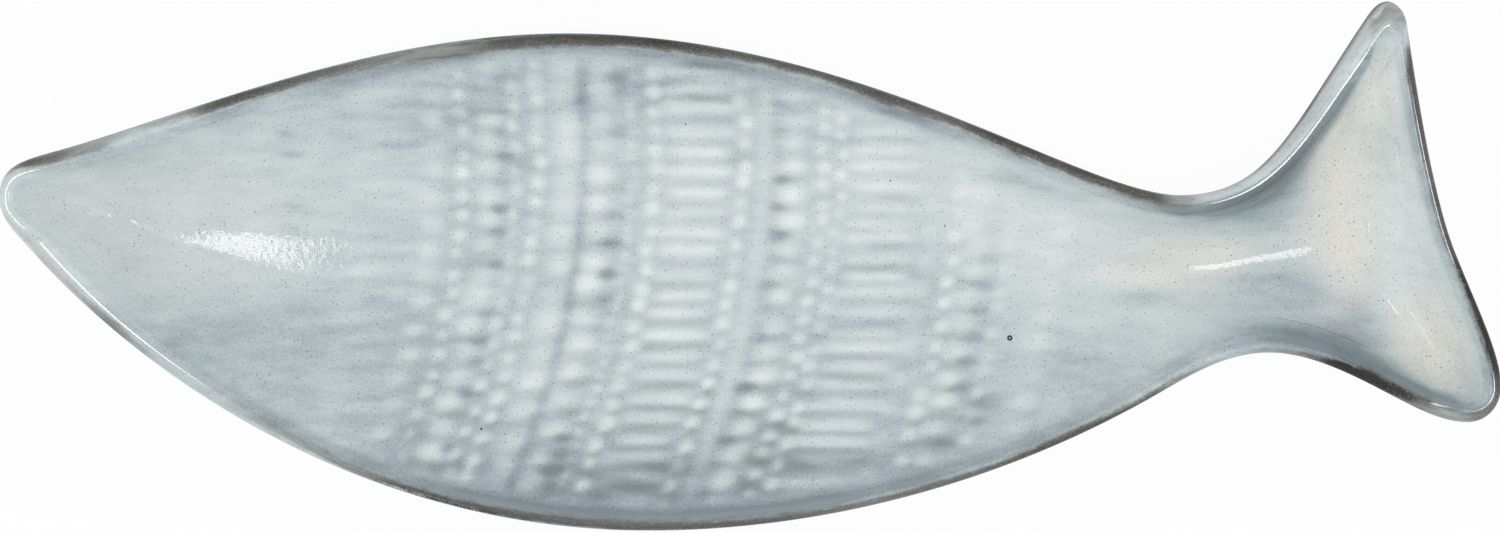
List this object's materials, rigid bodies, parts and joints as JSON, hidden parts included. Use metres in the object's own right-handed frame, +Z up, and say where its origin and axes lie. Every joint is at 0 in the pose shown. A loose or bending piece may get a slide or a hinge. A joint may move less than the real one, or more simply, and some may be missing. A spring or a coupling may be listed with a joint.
{
  "type": "fish shaped platter",
  "caption": "Shallow fish-shaped stoneware serving platter with a rounded lip, a forked tail, a concave glazed well and an oval foot ring.",
  "frame": {"origin": "middle of the outline's length and width, on the plane that the foot ring stands on", "axes": "+X from the nose to the tail, +Y from the belly to the back, +Z up out of the well"},
  "size_m": [0.36, 0.128, 0.0281],
  "materials": {
    "bare_clay": "matte",
    "pale_glaze": "glossy",
    "rim_glaze": "glossy",
    "outer_glaze": "glossy"
  },
  "bodies": {
    "root": {"stoneware_shell": "bare_clay", "foot_ring": "bare_clay", "well_glaze": "pale_glaze", "rim_glaze": "rim_glaze", "outer_glaze": "outer_glaze"}
  },
  "joints": []
}
